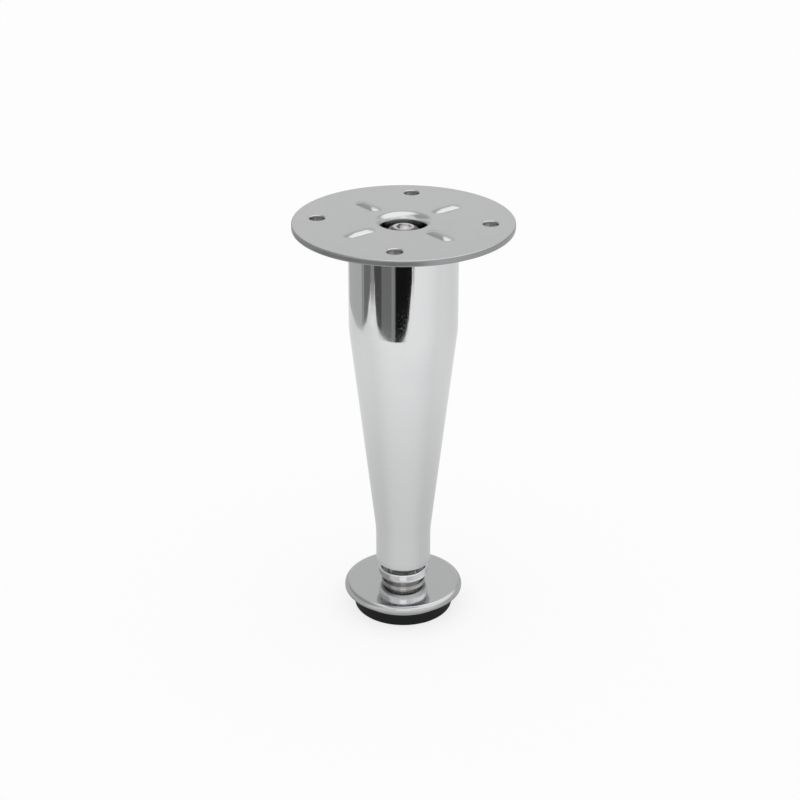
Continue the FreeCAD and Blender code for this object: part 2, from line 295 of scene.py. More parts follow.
QUARTERS = 4
HOLE_STEPS = 48
RIB_END_STEPS = 12
print(f"plate: {2 * PLATE_RIM / MM:.1f} mm across, top face at {PLATE_TOP / MM:.1f} mm")


# %% Ribs and rolled edges in section
def swage_profile(width, height, blend):
    """Section of a rib across its length: (distance from its spine, height, normal) from spine to foot."""
    back = (width * width / 4 + height * height) / (2 * height)
    foot = math.sqrt((back + blend) ** 2 - (back + blend - height) ** 2)
    lean = math.asin(foot / (back + blend))
    steps = 10
    section = []
    for k in range(steps + 1):
        angle = lean * k / steps
        section.append((back * math.sin(angle), height - back * (1 - math.cos(angle)), angle))
    for k in range(1, steps + 1):
        angle = lean * (1 - k / steps)
        section.append((foot - blend * math.sin(angle), blend * (1 - math.cos(angle)), angle))
    return section


def roll_profile(radius, roll):
    """Section of a hole's rolled-over edge, from the flat sheet down to the wall."""
    steps = 8
    section = []
    for k in range(steps + 1):
        angle = math.pi / 2 * k / steps
        section.append((radius + roll - roll * math.sin(angle), -roll * (1 - math.cos(angle)), -angle))
    return section


# %% Lay out one face of the sheet
class Sheet:
    """One face of the plate's flat part. side is 1 for its top and -1 for its underside."""

    def __init__(self, side, inner):
        self.side = side
        self.inner = inner
        self.places = []
        self.edges = []

    def loop(self, places, closed=True):
        start = len(self.places)
        self.places += places
        count = len(places)
        self.edges += [(start + k, start + (k + 1) % count) for k in range(count if closed else count - 1)]

    def ring(self, centre, radius, height, lean, steps):
        places = []
        for k in range(steps):
            out = on_ring(1, 0, k, steps)
            normal = Vector((out.x * math.sin(lean), out.y * math.sin(lean), math.cos(lean)))
            places.append((centre.x + out.x * radius, centre.y + out.y * radius, height, normal))
        self.loop(places)

    def rib(self, angle, section):
        """Rings of points round a rib's spine, each at one height. Its ends fall away more gently."""
        turn = Matrix.Rotation(angle, 3, "Z")
        full_run = (RIB_LENGTH - RIB_WIDTH) / 2
        for distance, height, lean in section:
            run = full_run * (1 - RIB_END_EASE * height / RIB_HEIGHT)
            places = []
            for end in (1, -1):
                for k in range(RIB_END_STEPS + 1):
                    side = math.radians(-90 + 180 * k / RIB_END_STEPS)
                    out = Matrix.Rotation(side, 3, "Z") @ Vector((end, 0, 0))
                    spot = turn @ (Vector((RIB_MIDDLE + end * run, 0, 0)) + out * distance)
                    gentler = math.cos(side) * full_run * RIB_END_EASE / RIB_HEIGHT
                    upright = Vector((0, 0, math.cos(lean) + math.sin(lean) * gentler))
                    slope = (turn @ out * math.sin(lean) + upright).normalized()
                    places.append((spot.x, spot.y, height, slope))
            if distance:
                self.loop(places)
            else:
                self.loop([places[0], places[-1]], closed=False)

    def add_to(self, skin, level):
        spots = [Vector(place[:2]) / MM for place in self.places]
        _, _, faces, sources, _, _ = delaunay_2d_cdt(spots, self.edges, [], 0, 1e-6)
        for face in faces:
            corners = [self.places[sources[k][0]] for k in face]
            middle = sum((Vector(corner[:2]) for corner in corners), Vector((0, 0))) / len(corners)
            if middle.length < self.inner or in_screw_hole(middle):
                continue
            if self.side < 0:
                corners.reverse()
            skin.add([((x, y, level + height), normal * self.side) for x, y, height, normal in corners])


def screw_places():
    return [on_ring(SCREW_CIRCLE, 0, k, QUARTERS).xy for k in range(QUARTERS)]


def in_screw_hole(spot):
    almost_all = 0.999   # a face whose middle lies on the wall itself isn't in the hole
    return any((spot - place).length < SCREW_HOLE * almost_all for place in screw_places())


# %% Press the plate
def recess_section():
    top, floor = PLATE_TOP, PLATE_TOP - RECESS_DEPTH
    return [
        (PLATE_RIM, top, RIM_ROUND),
        (PLATE_RIM, top - SHEET, RIM_ROUND),
        (RECESS_RADIUS + SHEET, top - SHEET, RECESS_MOUTH - SHEET),
        (RECESS_RADIUS + SHEET, floor - RECESS_FLOOR, RECESS_CORNER + RECESS_FLOOR),
        (BOLT_HOLE, floor - RECESS_FLOOR, 0),
        (BOLT_HOLE, floor, 0),
        (RECESS_RADIUS, floor, RECESS_CORNER),
        (RECESS_RADIUS, top, RECESS_MOUTH),
    ]


def add_hole_wall(skin, place, high, low):
    for k in range(HOLE_STEPS):
        corners = []
        for step, height in ((k + 1, high), (k + 1, low), (k, low), (k, high)):
            out = on_ring(1, 0, step % HOLE_STEPS, HOLE_STEPS)
            corners.append(((place.x + out.x * SCREW_HOLE, place.y + out.y * SCREW_HOLE, height), -out))
        skin.add(corners)


def make_plate():
    """Spins the recess and the rim, and lays out the two wide flats between them as sheets."""
    skin = Skin()
    inner, outer = RECESS_RADIUS + RECESS_MOUTH, PLATE_RIM - RIM_ROUND
    spin(skin, [(a, b) for a, b in stretches(recess_section()) if abs(a[0].x - b[0].x) < outer / 2])
    faces = {
        1: (PLATE_TOP, swage_profile(RIB_WIDTH, RIB_HEIGHT, RIB_BLEND), roll_profile(SCREW_HOLE, SCREW_ROLL)),
        -1: (
            PLATE_TOP - SHEET,
            swage_profile(RIB_WIDTH - 2 * RIB_HOLLOW_INSET, RIB_HEIGHT, HOLLOW_BLEND),
            [(SCREW_HOLE, 0.0, 0.0)],
        ),
    }
    for side, (level, rib, roll) in faces.items():
        sheet = Sheet(side, inner)
        for radius in (inner, outer):
            sheet.ring(Vector((0, 0)), radius, 0.0, 0.0, TURN_STEPS)
        for k in range(QUARTERS):
            sheet.rib(math.pi / QUARTERS + 2 * math.pi * k / QUARTERS, rib)
        for place in screw_places():
            for radius, height, lean in roll:
                sheet.ring(place, radius, height, lean, HOLE_STEPS)
        sheet.add_to(skin, level)
    for place in screw_places():
        add_hole_wall(skin, place, PLATE_TOP - SCREW_ROLL, PLATE_TOP - SHEET)
    return skin.piece("chromed_plate", "leg", "bright_plating", "mounting_plate")


plate = make_plate()

# %% [markdown]
# ## The bolt in the recess
#
# A button-head bolt holds the plate to the nut inside the tube. Its head lies sunk in the recess, so all
# that shows is the dome, the hexagon socket and the dark gap around them. The head is turned, and then
# the socket is cut with a Boolean, as a punch would do it.

# %% Helpers for cutting
def hexagon_punch(flats, low, high):
    """A hexagonal bar with a drill point under it, two of its flats facing along Y."""
    corner = flats / math.sqrt(3)
    ring = [on_ring(corner, 0, k, 6) for k in range(6)]
    points = [(spot.x, spot.y, low) for spot in ring] + [(spot.x, spot.y, high) for spot in ring]
    points.append((0, 0, low - corner * math.tan(math.radians(30))))
    faces = [(k, (k + 1) % 6, 6 + (k + 1) % 6, 6 + k) for k in range(6)]
    faces += [((k + 1) % 6, k, 12) for k in range(6)]
    faces.append(tuple(range(6, 12)))
    return new_object("punch", points, faces)


def apply_modifiers(thing):
    """Replaces an object's mesh by what its modifiers make of it."""
    finished = bpy.data.meshes.new_from_object(thing.evaluated_get(bpy.context.evaluated_depsgraph_get()))
    thing.modifiers.clear()
    thing.data = finished


# %% Turn the bolt and punch its socket
BOLT_LOW, BOLT_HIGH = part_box("plate_bolt")
BOLT_HEAD = BOLT_HIGH.x
BOLT_SHANK = 3.95 * MM
BOLT_PITCH = 1.25 * MM
HEAD_HEIGHT = 4.4 * MM
HEAD_RIM = 0.9 * MM
HEAD_FLAT_RADIUS = 3.3 * MM
HEAD_BULGE = 0.14
SOCKET_FLATS = 5.0 * MM
SOCKET_DEPTH = 2.6 * MM
THREAD_ENDS = 2 * MM      # length that the bolt's thread leaves plain, above and below together
THREAD_START = 1.5 * MM   # of which this much is above
BOLT_STEPS = 96
SOCKET_CREASE = math.radians(24)


def dome(start, end, bulge, steps=10):
    """Points of an arc from start to end that stands out by a share of its chord."""
    chord = end - start
    side = Vector((-chord.y, chord.x))
    sagitta = bulge * chord.length
    radius = (chord.length ** 2 / 4 + sagitta ** 2) / (2 * sagitta)
    centre = start + chord / 2 - side.normalized() * (radius - sagitta)
    total = 2 * math.asin(chord.length / 2 / radius)
    return [centre + Matrix.Rotation(-total * k / steps, 2) @ (start - centre) for k in range(steps + 1)]


def make_bolt():
    seat = BOLT_HIGH.z - HEAD_HEIGHT
    flat_edge, rim_edge = Vector((HEAD_FLAT_RADIUS, BOLT_HIGH.z)), Vector((BOLT_HEAD, seat + HEAD_RIM))
    section = [(0.0, BOLT_HIGH.z, 0)]
    section += [(point.x, point.y, 0) for point in dome(flat_edge, rim_edge, HEAD_BULGE)]
    section += [(BOLT_HEAD, seat, 0.15 * MM), (BOLT_SHANK, seat, 0)]
    for k in range(int((seat - BOLT_LOW.z - THREAD_ENDS) / BOLT_PITCH)):
        height = seat - THREAD_START - k * BOLT_PITCH
        section += [
            (BOLT_SHANK, height, 0),
            (BOLT_SHANK - 0.6 * BOLT_PITCH, height - 0.45 * BOLT_PITCH, 0),
            (BOLT_SHANK, height - 0.9 * BOLT_PITCH, 0),
        ]
    section += [(BOLT_SHANK - 1.0 * MM, BOLT_LOW.z, 0), (0.0, BOLT_LOW.z, 0)]
    skin = Skin()
    spin(skin, stretches(section), BOLT_STEPS)
    bolt = skin.piece("button_head_bolt", "leg", "dark_steel", "plate_bolt", exact=False)
    punch = hexagon_punch(SOCKET_FLATS, BOLT_HIGH.z - SOCKET_DEPTH, BOLT_HIGH.z + 2 * MM)
    cut = bolt.modifiers.new("socket", "BOOLEAN")
    cut.object = punch
    cut.solver = "EXACT"
    apply_modifiers(bolt)
    bpy.data.objects.remove(punch)
    bolt.data.set_sharp_from_angle(angle=SOCKET_CREASE)
    return bolt


bolt = make_bolt()

# %% [markdown]
# ## The foot's spindle
#
# One bar of steel is turned into the whole spindle: a 10 mm thread, a round collar, a neck, a flange that
# bears on the foot's cap, and a tail that is riveted over from below. The collar's lower edge is rounded
# further than its upper one. The thread is a right-hand one. Its surface is the turned bar with a groove
# that climbs as it goes round, so a single rule gives the radius for any angle and height, and the exact
# normal follows from the slope of that rule.

# %% Sizes of the spindle
SPINDLE_LOW, SPINDLE_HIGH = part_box("foot_spindle")
CAP_LOW, CAP_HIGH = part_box("foot_cap")
PITCH = 1.5 * MM
THREAD_RADIUS = 4.95 * MM
THREAD_DEPTH = 0.87 * MM
THREAD_CHAMFER = 1.2 * MM
THREAD_ROOT = 0.22    # share of a turn of the thread that is its flat root
THREAD_FLANKS = 0.62  # and its two flanks, which leaves the rest for the crest
RUN_IN = 0.6 * PITCH  # height over which the groove comes out of the relief
SUNK_END = 0.3 * MM   # the threaded bar starts this deep in the collar, so that no gap shows
RELIEF = 1.0 * MM
COLLAR_RADIUS = 9.0 * MM
COLLAR_LOW = 11.9 * MM
COLLAR_TOP = 15.9 * MM
COLLAR_ROUND = 0.6 * MM
COLLAR_UNDER_ROUND = 1.8 * MM
NECK_RADIUS = 6.8 * MM
HUB_RADIUS = 8.0 * MM
HUB_HEIGHT = 0.9 * MM
HUB_ROUND = 0.3 * MM
TAIL_RADIUS = 3.0 * MM
RIVET_RADIUS = 4.8 * MM
RIVET_HEIGHT = 1.0 * MM
CAP_TOP = CAP_HIGH.z
print(f"spindle: {(SPINDLE_HIGH.z - COLLAR_TOP) / PITCH:.1f} turns of thread above the collar")


# %% The thread's rule
def thread_radius(angle, height):
    """Radius of the threaded bar. The groove is a flat-bottomed V, cut between a relief and a chamfer."""
    phase = (height / PITCH - angle / (2 * math.pi)) % 1.0
    from_root = min(abs(phase - 0.5) / 0.5, 1.0)
    rise = min(1.0, max(0.0, (from_root - THREAD_ROOT) / THREAD_FLANKS))
    run_in = min(1.0, max(0.0, (height - COLLAR_TOP - RELIEF) / RUN_IN))
    cut = THREAD_DEPTH * (1 - rise * run_in)
    end = THREAD_RADIUS - THREAD_CHAMFER + (SPINDLE_HIGH.z - height)
    return min(THREAD_RADIUS - cut, end)


def thread_normal(angle, height):
    small_angle, small_height = 0.004, 0.01 * MM
    radius = thread_radius(angle, height)
    round_slope = thread_radius(angle + small_angle, height) - thread_radius(angle - small_angle, height)
    round_slope /= 2 * small_angle * radius
    up_slope = thread_radius(angle, height + small_height) - thread_radius(angle, height - small_height)
    up_slope /= 2 * small_height
    out = Vector((math.cos(angle), math.sin(angle), 0))
    along = Vector((-math.sin(angle), math.cos(angle), 0))
    return (out - along * round_slope - Vector((0, 0, up_slope))).normalized()


def add_thread(skin, low, high, steps=TURN_STEPS // 2, rows_a_turn=18):
    rows = math.ceil((high - low) / PITCH * rows_a_turn)
    grid = []
    for row in range(rows + 1):
        height = low + (high - low) * row / rows
        line = []
        for k in range(steps):
            angle = 2 * math.pi * k / steps
            radius = thread_radius(angle, height)
            spot = Vector((radius * math.cos(angle), radius * math.sin(angle), height))
            line.append((spot, thread_normal(angle, height)))
        grid.append(line)
    for row in range(rows):
        for k in range(steps):
            following = (k + 1) % steps
            above, below = grid[row + 1], grid[row]
            skin.add([above[k], below[k], below[following], above[following]])
    down, up = Vector((0, 0, -1)), Vector((0, 0, 1))
    for k in range(steps):
        following = (k + 1) % steps
        skin.add([((0, 0, high), up), (grid[-1][k][0], up), (grid[-1][following][0], up)])
        skin.add([((0, 0, low), down), (grid[0][following][0], down), (grid[0][k][0], down)])


# %% Turn the spindle
def make_spindle():
    section = [
        (0.0, COLLAR_TOP, 0),
        (COLLAR_RADIUS, COLLAR_TOP, COLLAR_ROUND),
        (COLLAR_RADIUS, COLLAR_LOW, COLLAR_UNDER_ROUND),
        (NECK_RADIUS, COLLAR_LOW, 0),
        (NECK_RADIUS, CAP_TOP + HUB_HEIGHT, 0),
        (HUB_RADIUS, CAP_TOP + HUB_HEIGHT, HUB_ROUND),
        (HUB_RADIUS, CAP_TOP, 0),
        (TAIL_RADIUS, CAP_TOP, 0),
        (TAIL_RADIUS, SPINDLE_LOW.z + RIVET_HEIGHT, 0),
        (RIVET_RADIUS, SPINDLE_LOW.z + RIVET_HEIGHT, 0.3 * MM),
        (RIVET_RADIUS, SPINDLE_LOW.z, 0.6 * MM),
        (0.0, SPINDLE_LOW.z, 0),
    ]
    skin = Skin()
    spin(skin, stretches(section))
    add_thread(skin, COLLAR_TOP - SUNK_END, SPINDLE_HIGH.z)
    return skin.piece("chromed_spindle", "foot", "bright_plating", "foot_spindle")


spindle = make_spindle()

# %% [markdown]
# ## The foot's cap
#
# The cap is a shallow cup turned upside down over the pad. The press folds the sheet back on itself at the
# rim, which gives the thick round edge that a person grips to turn the foot. The top is flat and bright,
# so it mirrors the collar and the neck over it. A domed top would look almost the same in a drawing, but
# it would shrink that mirror image, and the eye sees the difference at once.

# %% Press the cap
CAP_WALL = 18.3 * MM
CAP_SHEET = 1.2 * MM
CAP_HOLE = 3.1 * MM
CAP_RIM_HEIGHT = 2.5 * MM
CAP_SHOULDER = 1.8 * MM
CAP_RIM_ROUND = 0.5 * MM
CAP_WALL_BEND = 0.5 * MM
CAP_TOP_BEND = 0.8 * MM
CAP_EDGE = 0.3 * MM


def make_cap():
    rim, inner = CAP_HIGH.x, CAP_WALL - CAP_SHEET
    section = [
        (CAP_HOLE, CAP_TOP, 0),
        (rim, CAP_TOP, CAP_SHOULDER),
        (rim, CAP_TOP - CAP_RIM_HEIGHT, CAP_RIM_ROUND),
        (CAP_WALL, CAP_TOP - CAP_RIM_HEIGHT, CAP_WALL_BEND),
        (CAP_WALL, CAP_LOW.z, CAP_EDGE),
        (inner, CAP_LOW.z, CAP_EDGE),
        (inner, CAP_TOP - CAP_SHEET, CAP_TOP_BEND),
        (CAP_HOLE, CAP_TOP - CAP_SHEET, 0),
    ]
    return turned(section, "chromed_cap", "foot", "bright_plating", "foot_cap")


cap = make_cap()

# %% [markdown]
# ## The glide pad
#
# The pad is a black moulding that spares the floor. A plug on it sits in the cap, and what shows is the
# side of its foot and the rounded edge at the bottom. Underneath it has three shallow grooves that help it
# to grip, and a recess for the washer and the rivet that hold it.

# %% Mould the pad
PAD_LOW, PAD_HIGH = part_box("glide_pad")
PAD_RECESS = 7.5 * MM
PAD_HOLE = 3.3 * MM
PAD_WEB = 1.7 * MM
PAD_EDGE = 1.0 * MM
PLUG_CLEARANCE = 0.25 * MM
SHOULDER_CLEARANCE = 0.05 * MM
GROOVE_DEPTH = 0.5 * MM
GROOVE_RADII = (15.0 * MM, 12.5 * MM, 10.0 * MM)
GROOVE_MOUTH = 0.6 * MM   # half its width, and the next is the same at its floor
GROOVE_FLOOR = 0.4 * MM
GROOVE_ROUND = 0.1 * MM


def make_pad():
    rim, top = PAD_HIGH.x, PAD_HIGH.z
    plug, shoulder = CAP_WALL - CAP_SHEET - PLUG_CLEARANCE, CAP_LOW.z - SHOULDER_CLEARANCE
    section = [
        (PAD_HOLE, top, 0),
        (plug, top, CAP_TOP_BEND),
        (plug, shoulder, 0),
        (rim, shoulder, 0.3 * MM),
        (rim, PAD_LOW.z, PAD_EDGE),
    ]
    for radius in GROOVE_RADII:
        section += [
            (radius + GROOVE_MOUTH, PAD_LOW.z, GROOVE_ROUND),
            (radius + GROOVE_FLOOR, PAD_LOW.z + GROOVE_DEPTH, GROOVE_ROUND),
            (radius - GROOVE_FLOOR, PAD_LOW.z + GROOVE_DEPTH, GROOVE_ROUND),
            (radius - GROOVE_MOUTH, PAD_LOW.z, GROOVE_ROUND),
        ]
    section += [
        (PAD_RECESS, PAD_LOW.z, 0.4 * MM),
        (PAD_RECESS, top - PAD_WEB, 0.2 * MM),
        (PAD_HOLE, top - PAD_WEB, 0),
    ]
    return turned(section, "moulded_pad", "pad", "pad_plastic", "glide_pad")


pad = make_pad()

# %% [markdown]
# ## Shader sums in plain Python
#
# A finish is a sum of small effects: a fine grain plus a few smudges, less where the surface was rubbed.
# Blender builds such sums from Math nodes. Wiring them by hand hides what they mean, so one small class
# wraps a socket and lets Python's own signs add the nodes. Every other node comes from one method.

# %% A socket that does sums
class Signal:
    """A value that changes over a surface. Sums on it become Math nodes."""

    def __init__(self, recipe, socket):
        self.recipe = recipe
        self.socket = socket

    def sum(self, operation, first, second):
        return self.recipe.node("ShaderNodeMath", {"operation": operation}, {0: first, 1: second})

    def __add__(self, other):
        return self.sum("ADD", self, other)

    def __radd__(self, other):
        return self.sum("ADD", other, self)

    def __sub__(self, other):
        return self.sum("SUBTRACT", self, other)

    def __rsub__(self, other):
        return self.sum("SUBTRACT", other, self)

    def __mul__(self, other):
        return self.sum("MULTIPLY", self, other)

    def __rmul__(self, other):
        return self.sum("MULTIPLY", other, self)

    def __pow__(self, other):
        return self.sum("POWER", self, other)

    def __rpow__(self, other):
        return self.sum("POWER", other, self)

    def ease(self, low, high):
        """0 below low, 1 above high, and a soft step between them."""
        settings = {"interpolation_type": "SMOOTHSTEP"}
        return self.recipe.node("ShaderNodeMapRange", settings, {0: self, 1: low, 2: high})


# %% A material being made
class Recipe:
    """A material's nodes, with the places on the object that its effects are laid out by."""

    def __init__(self, name):
        self.material = bpy.data.materials.new(name)
        self.material.use_nodes = True
        self.tree = self.material.node_tree
        self.shader = self.tree.nodes["Principled BSDF"]
        self.locate("Object")
        self.angle = self.node("ShaderNodeMath", {"operation": "ARCTAN2"}, {0: self.y, 1: self.x})

    def locate(self, kind):
        """Takes a place apart. kind is the name of an output of the Texture Coordinate node."""
        self.place = self.node("ShaderNodeTexCoord", out=kind)
        self.x, self.y, self.height = (
            self.node("ShaderNodeSeparateXYZ", sockets={0: self.place}, out=axis) for axis in "XYZ"
        )
        self.radius = (self.x * self.x + self.y * self.y) ** 0.5

    def node(self, kind, settings=None, sockets=None, out=0):
        """Adds a node: its settings first, then its sockets' values or links. Gives one of its outputs."""
        made = self.tree.nodes.new(kind)
        for name, value in (settings or {}).items():
            setattr(made, name, value)
        for name, value in (sockets or {}).items():
            self.feed(made.inputs[name], value)
        return None if out is None else Signal(self, made.outputs[out])

    def feed(self, socket, value):
        if isinstance(value, Signal):
            self.tree.links.new(value.socket, socket)
        else:
            socket.default_value = value

    def stretched(self, across, around, along):
        """The place on a turned piece, in steps of so many metres out, around and along its axis."""
        parts = {0: self.radius * (1 / across), 1: self.angle * (1 / around), 2: self.height * (1 / along)}
        return self.node("ShaderNodeCombineXYZ", sockets=parts)

    def scaled(self, size):
        """The place on the object, in steps of the given sizes along X, Y and Z."""
        steps = tuple(1 / value for value in size)
        return self.node("ShaderNodeVectorMath", {"operation": "MULTIPLY"}, {0: self.place, 1: steps})

    def leaning(self, degrees, axis):
        turn = {"Vector": self.place, "Axis": axis, "Angle": math.radians(degrees)}
        return self.node("ShaderNodeVectorRotate", {"rotation_type": "AXIS_ANGLE"}, turn)

    def noise(self, where, scale=1.0, detail=2.0, roughness=0.5):
        sockets = {"Vector": where, "Scale": scale, "Detail": detail, "Roughness": roughness}
        return self.node("ShaderNodeTexNoise", sockets=sockets)

    def hairlines(self, degrees, axis, length, width, share):
        """Thin straight scratches that lean one way. share is the part of the surface without them."""
        turned = self.leaning(degrees, axis)
        steps = (1 / length, 1 / width, 1 / width)
        where = self.node("ShaderNodeVectorMath", {"operation": "MULTIPLY"}, {0: turned, 1: steps})
        return self.noise(where, detail=1.0).ease(share, share + 0.05)

    def blend(self, factor, first, second):
        """Mixes two colours. The Mix node's colour sockets are 6 and 7, and its colour output is 2."""
        sockets = {0: factor, 6: (*first, 1.0) if isinstance(first, tuple) else first, 7: (*second, 1.0)}
        return self.node("ShaderNodeMix", {"data_type": "RGBA"}, sockets, out=2)

    def relief(self, height, depth):
        """Turns a height from 0 to 1 into a bump of so many metres."""
        return self.node("ShaderNodeBump", sockets={"Strength": 1.0, "Distance": depth, "Height": height})

    def finish(self, **values):
        """Sets the shader's sockets, with spaces in their names written as underscores."""
        for name, value in values.items():
            self.feed(self.shader.inputs[name.replace("_", " ")], value)
        print(f"{self.material.name}: {len(self.tree.nodes)} nodes")
        return self.material

    def metal(self, colour, roughness, bumps, depth):
        """Finishes a bare metal with a relief of so many metres."""
        relief = self.relief(bumps, depth)
        return self.finish(Base_Color=colour, Metallic=1.0, Roughness=roughness, Normal=relief)


# %% [markdown]
# ## Bright chrome on the tube
#
# Decorative chrome is a film over polished nickel, so it shows what was under it. On the tube that is the
# polishing belt, which leaves faint lines around it, and the swaging hammers, which leave a waviness that
# bends reflections by a hair. Handling adds smudges and a few fine scratches. One colour with one
# roughness would look like a computer's mirror, so each of those effects gets a small part of the finish.

# %% Chrome on the tube
CHROME = (0.70, 0.705, 0.71)
CHROME_DEEP = (0.62, 0.63, 0.64)


def tube_chrome():
    r = Recipe("tube_chrome")
    belt = r.noise(r.stretched(1.0, 0.5, 0.12 * MM), detail=3.0)
    hammered = r.noise(r.stretched(20 * MM, 0.9, 7 * MM), detail=1.0)
    smudges = r.noise(r.scaled((18 * MM, 18 * MM, 30 * MM)), detail=4.0, roughness=0.65).ease(0.5, 0.75)
    nicks = r.hairlines(64, (1, 0.3, 0.2), 14 * MM, 0.12 * MM, 0.71)
    nicks = nicks + r.hairlines(-38, (0.2, 1, 0.1), 20 * MM, 0.1 * MM, 0.72)
    ends = 1 - (r.height - TUBE_LOW.z).ease(0.3 * MM, 2.5 * MM)
    roughness = 0.045 + belt * 0.025 + smudges * 0.04 + nicks * 0.1 + ends * 0.08
    colour = r.blend(smudges * 0.25 + ends * 0.3, CHROME, CHROME_DEEP)
    return r.metal(colour, roughness, hammered * 0.85 + belt * 0.02 - nicks * 0.03, 0.02 * MM)


tube.data.materials.append(tube_chrome())

# %% [markdown]
# ## Chrome on pressed sheet
#
# The plate isn't polished before it is plated. The sheet's grain stays, a soft orange-peel with a faint
# rolling direction, and the press leaves rub marks around the ribs. Its sheared rim is the dullest part.
# The walls of the holes and the deep recess are painted dark as shade, and the hole walls are duller too,
# since plating hardly reaches into a narrow hole.

# %% Chrome on the plate
SHEET_CHROME = (0.62, 0.625, 0.625)
SHEARED_EDGE = (0.33, 0.335, 0.34)
# Painted shade, close to black, for the deep recess and the walls of the screw holes
PAINTED_HOLE_SHADE = (0.09, 0.088, 0.085)
HOLES_START = 26.0 * MM   # the ring of the plate in which its four screw holes lie
HOLES_END = 34.0 * MM


def plate_chrome():
    r = Recipe("plate_chrome")
    peel = r.noise(r.scaled((0.6 * MM,) * 3), detail=3.0, roughness=0.6)
    rolled = r.noise(r.scaled((9 * MM, 0.22 * MM, 1.0)), detail=2.0)
    stains = r.noise(r.scaled((7 * MM,) * 3), detail=5.0, roughness=0.7).ease(0.48, 0.8)
    rubs = r.hairlines(25, (0, 0, 1), 9 * MM, 0.14 * MM, 0.69)
    rubs = rubs + r.hairlines(-52, (0, 0, 1), 12 * MM, 0.1 * MM, 0.7)
    rim = r.radius.ease(PLATE_RIM - 0.35 * MM, PLATE_RIM - 0.1 * MM)
    depth = PLATE_TOP - r.height
    # Painted shade deep in the recess and on the screw holes' walls; the hole walls are also made rougher
    recess_shade = depth.ease(2.2 * MM, 4.0 * MM)
    recess_shade = recess_shade * (1 - r.radius.ease(RECESS_RADIUS + 0.1 * MM, RECESS_RADIUS + 0.3 * MM))
    dull_shaded_hole_walls = depth.ease(0.08 * MM, 0.3 * MM) * (1 - depth.ease(SHEET - 0.1 * MM, SHEET))
    dull_shaded_hole_walls = dull_shaded_hole_walls * r.radius.ease(HOLES_START, HOLES_START + 0.6 * MM)
    dull_shaded_hole_walls = dull_shaded_hole_walls * (1 - r.radius.ease(HOLES_END - 1.0 * MM, HOLES_END))
    roughness = 0.13 + peel * 0.05 + stains * 0.08 + rubs * 0.1 + rim * 0.16 + dull_shaded_hole_walls * 0.25
    colour = r.blend(stains * 0.3 + rubs * 0.15, SHEET_CHROME, CHROME_DEEP)
    colour = r.blend(rim, colour, SHEARED_EDGE)
    colour = r.blend(recess_shade * 0.8 + dull_shaded_hole_walls * 0.6, colour, PAINTED_HOLE_SHADE)
    return r.metal(colour, roughness, peel * 0.5 + rolled * 0.25 - rubs * 0.2, 0.012 * MM)


plate.data.materials.append(plate_chrome())

# %% [markdown]
# ## Chrome on the foot
#
# The cap and the spindle spin on a lathe before they are plated, so their marks are rings about the axis.
# The neck under the collar is painted dark as shade, and the groove of the thread is painted darker for the
# grease that gathers there and for shade. The cap's rim is what a hand grips to turn the foot, so it is
# duller than the flat top.

# %% Chrome on the foot
# Painted shade for the neck under the collar, and grease with painted shade for the thread's groove
GREASE_AND_SHADE = (0.22, 0.215, 0.2)
GRIPPED_CHROME = (0.47, 0.475, 0.48)


def foot_chrome():
    r = Recipe("foot_chrome")
    rings = r.noise(r.stretched(0.09 * MM, 3.0, 0.09 * MM), detail=2.0)
    smudges = r.noise(r.scaled((6 * MM,) * 3), detail=4.0, roughness=0.65).ease(0.5, 0.78)
    nicks = r.hairlines(33, (0, 0, 1), 5 * MM, 0.08 * MM, 0.7)
    threaded = (r.height - COLLAR_TOP).ease(-0.1 * MM, 0.2 * MM)
    # Grease and painted shade in the thread's groove, painted shade in the neck under the collar
    groove_grease_and_shade = (THREAD_RADIUS - r.radius).ease(0.1 * MM, 0.7 * MM) * threaded
    neck_shade = (r.height - CAP_TOP).ease(0.02 * MM, 0.15 * MM)
    neck_shade = neck_shade * (1 - (r.height - COLLAR_LOW).ease(0.1 * MM, 0.7 * MM))
    gripped = r.radius.ease(CAP_HIGH.x - CAP_SHOULDER, CAP_HIGH.x - 0.5 * CAP_SHOULDER)
    roughness = 0.06 + rings * 0.05 + smudges * 0.05 + nicks * 0.1 + threaded * 0.12 + groove_grease_and_shade * 0.2
    roughness = roughness + gripped * 0.06
    colour = r.blend(smudges * 0.3, CHROME, CHROME_DEEP)
    colour = r.blend(gripped * (0.8 + smudges * 0.2), colour, GRIPPED_CHROME)
    colour = r.blend(groove_grease_and_shade * 0.4 + neck_shade * 0.7, colour, GREASE_AND_SHADE)
    return r.metal(colour, roughness, rings * 0.8 - nicks * 0.3, 0.003 * MM)


FOOT_CHROME = foot_chrome()
spindle.data.materials.append(FOOT_CHROME)
cap.data.materials.append(FOOT_CHROME)

# %% [markdown]
# ## Dark steel, plain steel and black plastic
#
# The bolt is oiled grey steel. Round its socket the head is painted bright, partly as wear where the key has
# turned in it and partly as a painted highlight on the dome. The washer, disc, nut, bush and keeper are plain
# zinc-plated steel that nobody sees. They get a spangled zinc all the same, because the leg is looked at from
# below and may be cut open. The pad is moulded in black plastic with a spark-eroded grain, and its lower edge
# is scuffed pale by the floor.

# %% Oiled steel on the bolt
OILED_STEEL = (0.12, 0.12, 0.122)
# Wear from the key and a painted highlight on the dome round the socket
RUBBED_STEEL_AND_HIGHLIGHT = (0.75, 0.745, 0.74)


